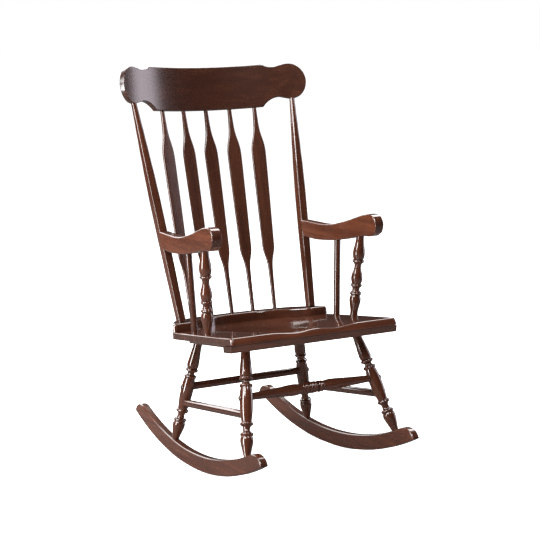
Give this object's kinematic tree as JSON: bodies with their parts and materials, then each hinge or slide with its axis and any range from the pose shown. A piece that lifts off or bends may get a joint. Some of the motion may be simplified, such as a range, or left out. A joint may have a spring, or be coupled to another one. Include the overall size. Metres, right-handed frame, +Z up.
{
  "type": "rocking chair",
  "caption": "High-backed wooden rocking chair with a scalloped crest, flat slats, scroll arms, a saddle seat and turned legs on curved rockers.",
  "frame": {"origin": "on the floor, under the middle of the chair's outer box; the floor touches the rockers' lowest facets", "axes": "+X across the chair, towards the sitter's left arm; +Y from the front edge of the seat to the back; +Z up"},
  "size_m": [0.6358, 0.7752, 1.1221],
  "materials": {
    "wood": "dark red-brown stain under a semi-gloss lacquer",
    "steel": "plain zinc-plated screws, hidden in the joints"
  },
  "bodies": {
    "root": {"rocker_right": "wood", "rocker_left": "wood", "leg_front_right": "wood", "leg_front_left": "wood", "leg_rear_right": "wood", "leg_rear_left": "wood", "leg_button_front_right": "wood", "leg_button_front_left": "wood", "leg_button_rear_right": "wood", "leg_button_rear_left": "wood", "stretcher_front": "wood", "stretcher_rear": "wood", "stretcher_side_right": "wood", "stretcher_side_left": "wood", "seat_panel": "wood", "seat_front_rail": "wood", "seat_cleat_right": "wood", "seat_cleat_left": "wood", "back_rail": "wood", "crest_rail": "wood", "back_post_right": "wood", "back_post_left": "wood", "arrow_slat_1": "wood", "arrow_slat_2": "wood", "arrow_slat_3": "wood", "arrow_slat_4": "wood", "arrow_slat_5": "wood", "crest_pin_right": "wood", "crest_pin_left": "wood", "arm_right": "wood", "arm_left": "wood", "arm_post_right": "wood", "arm_post_left": "wood", "arm_dowel_right": "wood", "arm_dowel_left": "wood", "rocker_screw_front_right": "steel", "rocker_screw_front_left": "steel", "rocker_screw_rear_right": "steel", "rocker_screw_rear_left": "steel", "cleat_screw_1_right": "steel", "cleat_screw_1_left": "steel", "cleat_screw_2_right": "steel", "cleat_screw_2_left": "steel", "front_rail_screw_right": "steel", "front_rail_screw_left": "steel", "arm_screw_right": "steel", "arm_screw_left": "steel"}
  },
  "joints": []
}
